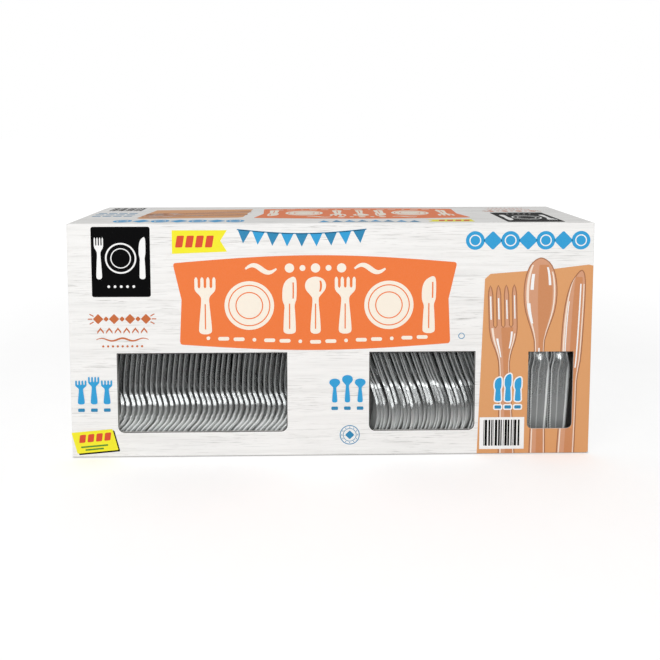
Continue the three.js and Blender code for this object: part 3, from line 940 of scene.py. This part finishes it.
# The front, in mm from its lower left corner
badge(43, 162, 57)
ornament(43, 104)
label(199, 128, 230, 78, 1.0)
pennant(84, 168.5, 44, 19, 4)
bunting(136, 188, 104, 9)
garland(371, 178.5, 86, 7)
left, right, sill, lintel = WINDOW
middle_u = (left + right) / 2
for side, edge_u, outer in (
    (-1, left, [(341, 151.2), (336.4, 147), (332, 0)]),
    (1, right, [(421, 158.5), (front_width, 157.5), (front_width, 0)]),
):
    ring = [(middle_u, 155.0), *outer, (middle_u, 0), (middle_u, sill)]
    for step in range(5):
        angle = math.radians(270 + side * 22.5 * step)
        ring.append((edge_u - side * WINDOW_CORNER + WINDOW_CORNER * math.cos(angle),
                     sill + WINDOW_CORNER + WINDOW_CORNER * math.sin(angle)))
    ring += [(edge_u, lintel), (middle_u, lintel)]
    for part in over_folds(ring):
        draw(1, "tan", [part])


def trimmed(ring):
    """An outline kept on the card: clear of the window, and bent over its foot and right edge."""
    return [part for piece in beside_window(ring) for part in over_folds(piece)]


clear_print("fork", (358, -34), 2.4, 176, 23, trimmed)
clear_print("spoon", (382, -22), 0.0, 186, 27, trimmed)
clear_print("knife", (404.5, -30), -2.0, 184, 17, trimmed)
trio(19, 45, "fork", 9.0, 10.4)
trio(225, 45, "spoon", 8.8, 10.4)
trio(357, 45, "knife", 5.6, 8.2, edged=True)
SEAL = (227, 17.5)
for radius, hole_radius in ((8.2, 7.5), (5.6, 5.1)):
    draw(1, "deep_blue", disc(radius, hole_radius), SEAL)
for step in range(12):
    angle = math.radians(30 * step)
    bead = (SEAL[0] + 6.55 * math.cos(angle), SEAL[1] + 6.55 * math.sin(angle))
    draw(1, "deep_blue", disc(0.45, sides=8), bead)
draw(1, "deep_blue", plate(5.4, 5.4, 0.8), SEAL, 45)
draw(1, "deep_blue", disc(2.6, 2.0, sides=24), (318, 100))
bars(334, 4.5, 37, 27)
# Painted shade: a thin black line round the fork and spoon windows, for the shadow along their cut
# edges
for kind in ("forks", "spoons"):
    draw(1, "black", [window_ring(kind, WINDOW_SHADE_LINE), window_ring(kind, 0.05)])
draw(1, "black", plate(33.5, 18, 0.8, lean=-3), (20.2, 12.6), 5)
draw(2, "yellow", plate(33.5, 18, 0.8, lean=-3), (18.8, 13.8), 5)
for step in range(4):
    draw(3, "red", plate(5.0, 6.6, 0.8, lean=1.4), (8.8 + step * 6.8, 16.0 + step * 0.6), 5)
for step in range(2):
    draw(3, "green", plate(22 - 7 * step, 1.3, 0.4), (18.4, 9.8 - 2.6 * step), 5)
lay_print("front", shapes, on_front, Vector((0, -1, 0)))

# The top carries the same motifs in less depth, in mm from its back right corner
shapes.clear()
badge(46, 78, 60)
ornament(46, 26)
label(186, 50, 186, 72, 0.84)
pennant(96, 91, 38, 14, 4)
bunting(140, 107, 84, 8)
garland(338, 98, 92, 7)
draw(1, "tan", [[(284, 20), (372, 26), (377, 80), (373, 84), (292, 77), (288, 74)]])
clear_print("fork", (284.5, 38), -76, 92, 16, lambda ring: [ring])
clear_print("spoon", (286, 58), -82, 90, 16, lambda ring: [ring])
for row in range(3):
    for part in range(4):
        draw(1, "deep_blue", plate(7.4, 3.6, 0.8), (388 + part * 9.0, 48 + row * 9.5))
bars(382, 6, 37, 27, layer=1)
lay_print("top", shapes, on_top, Vector((0, 0, 1)))


# Stage
# A white studio sweep with soft lamps at the front, and the camera where the photographer
# stood: straight on, a little to the left and above the pack.
IMAGE = 660
FOCAL_PIXELS = 675
SENSOR = 36.0
CAMERA = Vector((-16.4, -593.1, 269.6)) * MM
YAW = math.radians(1.09)
PITCH = math.radians(4.31)
LENS_SHIFT = (0.008, -0.23)
NEAR_CLIP = 0.01
SWEEP_REACH = 14.0
SWEEP_DROP = 0.1 * MM
KEY_PLACE = (-0.25, -1.9, 0.85)
PACK_MIDDLE = (0.0, 0.0, 0.08)
CLEAR_WALLS = 32


def sweep_white():
    """Matt white paper that keeps the pack's shadow and reads as white to the camera."""
    material, tree = new_material("matt_white_sweep")
    place = add(tree, "ShaderNodeTexCoord").outputs["Object"]
    grain = add(tree, "ShaderNodeTexNoise", {"Vector": place, "Scale": 40.0, "Detail": 2.0})
    tone = add(tree, "ShaderNodeMix", {0: grain, 6: ink("FAFAFA"), 7: ink("FDFDFD")},
               data_type="RGBA").outputs[2]
    paper = add(tree, "ShaderNodeBsdfDiffuse", {"Color": tone})
    away = add(tree, "ShaderNodeVectorMath", [place], operation="LENGTH").outputs["Value"]
    paler = add(tree, "ShaderNodeMapRange", [away, 0.4, 1.6, 0.28, 0.6])
    seen = add(tree, "ShaderNodeLightPath").outputs["Is Camera Ray"]
    lift = add(tree, "ShaderNodeMath", [seen, paler], operation="MULTIPLY")
    glow = add(tree, "ShaderNodeEmission", {"Color": ink("FFFFFF"), "Strength": lift})
    both = add(tree, "ShaderNodeAddShader", [paper, glow])
    add(tree, "ShaderNodeOutputMaterial", [both])
    return material


floor_mesh = bpy.data.meshes.new("sweep")
corners = [(x * SWEEP_REACH, y * SWEEP_REACH, 0) for x, y in ((-1, -1), (1, -1), (1, 1), (-1, 1))]
floor_mesh.from_pydata(corners, [], [(0, 1, 2, 3)])
floor_mesh.materials.append(sweep_white())
floor = stand("sweep", floor_mesh)
floor.location.z = carton_low.z - SWEEP_DROP

world = bpy.data.worlds.new("studio")
bpy.context.scene.world = world
world.use_nodes = True
sky = world.node_tree
sky.nodes.clear()
path = add(sky, "ShaderNodeLightPath")
rays = [path.outputs["Is Camera Ray"], path.outputs["Is Transmission Ray"]]
looked = add(sky, "ShaderNodeMath", rays, operation="MAXIMUM")
ambient = add(sky, "ShaderNodeMapRange", {0: looked, 3: 0.6, 4: 1.0})
light = add(sky, "ShaderNodeBackground", {"Color": ink("FFFFFF"), "Strength": ambient})
add(sky, "ShaderNodeOutputWorld", [light])


def soft_lamp(name, place, aim, wide, high, watts):
    """A soft box: an area lamp turned towards a point of the pack."""
    data = bpy.data.lights.new(name, "AREA")
    data.shape = "RECTANGLE"
    data.size = wide
    data.size_y = high
    data.energy = watts
    lamp = stand(name, data)
    lamp.location = place
    lamp.rotation_euler = (Vector(aim) - Vector(place)).to_track_quat("-Z", "Y").to_euler()
    return lamp


soft_lamp("key_lamp", KEY_PLACE, PACK_MIDDLE, 0.6, 0.35, 11.5)
soft_lamp("fill_lamp", (-1.2, -1.4, 1.2), PACK_MIDDLE, 0.9, 0.7, 2.0)

# Two lamps light the plastic alone: a strip for its flashes, and a soft box like the key lamp
glint_strip = soft_lamp("glint_strip", (0.1, -1.9, 0.85), (0.1, 0.0, 0.05), 1.75, 0.3, 75.0)
glint_strip.visible_diffuse = False
nest_lamp = soft_lamp("nest_lamp", KEY_PLACE, PACK_MIDDLE, 0.6, 0.35, 4.5)
for lamp in (glint_strip, nest_lamp):
    lamp.light_linking.receiver_collection = polished

camera_data = bpy.data.cameras.new("camera")
camera_data.sensor_width = SENSOR
camera_data.lens = FOCAL_PIXELS / IMAGE * SENSOR
camera_data.shift_x, camera_data.shift_y = LENS_SHIFT
camera_data.clip_start = NEAR_CLIP
camera = stand("camera", camera_data)
camera.location = CAMERA
camera.rotation_euler = (math.pi / 2 - PITCH, 0.0, -YAW)
bpy.context.scene.camera = camera
bpy.context.scene.view_settings.view_transform = "Standard"
bpy.context.scene.cycles.transparent_max_bounces = CLEAR_WALLS
